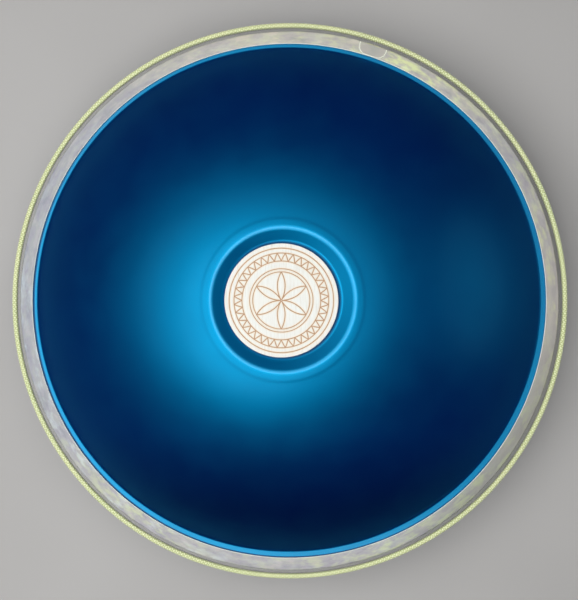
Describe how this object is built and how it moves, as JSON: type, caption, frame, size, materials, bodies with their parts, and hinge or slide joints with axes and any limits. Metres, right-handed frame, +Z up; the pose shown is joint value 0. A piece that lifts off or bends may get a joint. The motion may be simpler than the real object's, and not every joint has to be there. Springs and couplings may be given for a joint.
{
  "type": "steel tongue pan",
  "caption": "Steel tongue pan of bonded blue domes, with tongues cut in the lower dome, a clear rim trim holding a braided rope, and a wooden disc set in the upper crown.",
  "frame": {"origin": "middle of the flat of the playing side, which the pan lies on", "axes": "+Z up from the playing side to the plain side, through the middle of both domes; -Y is the player's side"},
  "size_m": [0.51, 0.51, 0.1666],
  "materials": {
    "blue_paint": "satin metallic paint",
    "birch": "sanded plywood, engraved",
    "adhesive": "cured adhesive",
    "clear_trim": "milky flexible plastic",
    "clear_patch": "milky flexible plastic",
    "rope": "round braided cord"
  },
  "bodies": {
    "root": {"plain_shell": "blue_paint", "playing_shell": "blue_paint", "flange_adhesive": "adhesive", "wooden_disc": "birch", "disc_adhesive_pad": "adhesive", "edge_trim": "clear_trim", "rim_rope": "rope", "trim_joint_patch": "clear_patch"}
  },
  "joints": []
}
